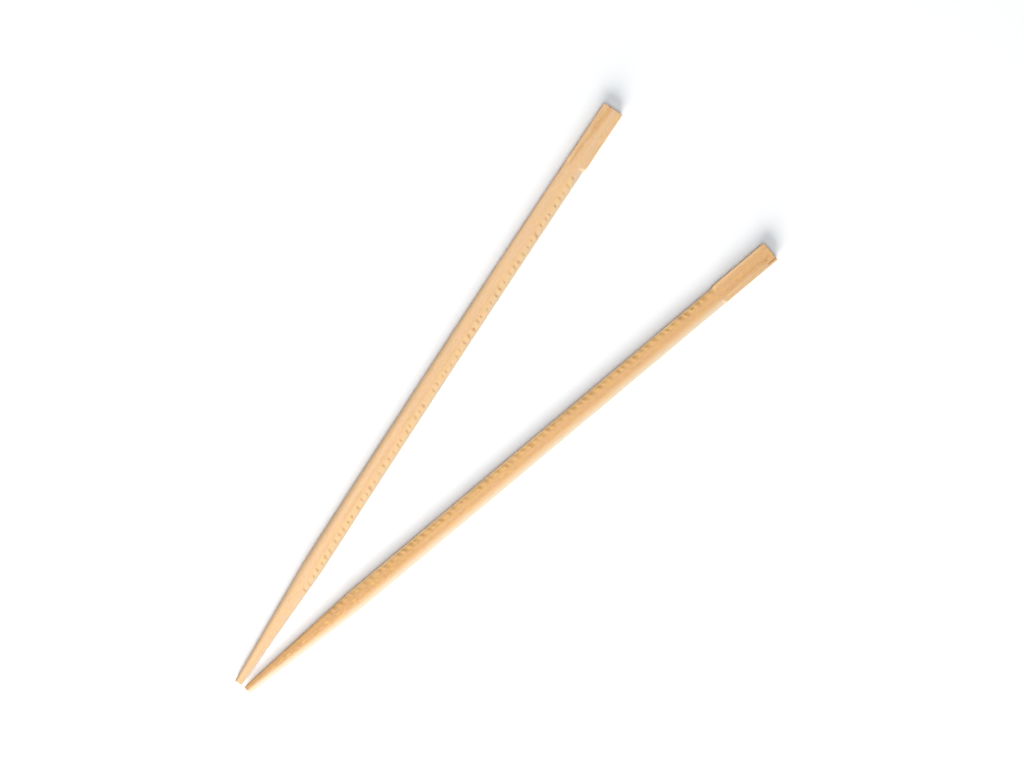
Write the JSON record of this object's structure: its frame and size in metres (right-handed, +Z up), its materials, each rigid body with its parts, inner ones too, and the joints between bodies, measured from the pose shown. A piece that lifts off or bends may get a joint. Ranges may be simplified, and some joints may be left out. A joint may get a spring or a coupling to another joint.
{
  "type": "pair of wooden chopsticks",
  "caption": "Plain split-wood chopsticks lying open in a V: square head blocks, long chamfered bodies and tapered tips.",
  "frame": {"origin": "middle of the pair's outline seen from above, on the surface that the chopsticks lie on", "axes": "+Y along the middle line of the V, from the tips to the heads; +X from the middle line to the right stick; +Z up"},
  "size_m": [0.079, 0.2282, 0.005],
  "materials": {
    "left_wood": "bare planed wood, pale",
    "right_wood": "bare planed wood, slightly deeper tone"
  },
  "bodies": {
    "root": {"left_chopstick": "left_wood", "right_chopstick": "right_wood"}
  },
  "joints": []
}
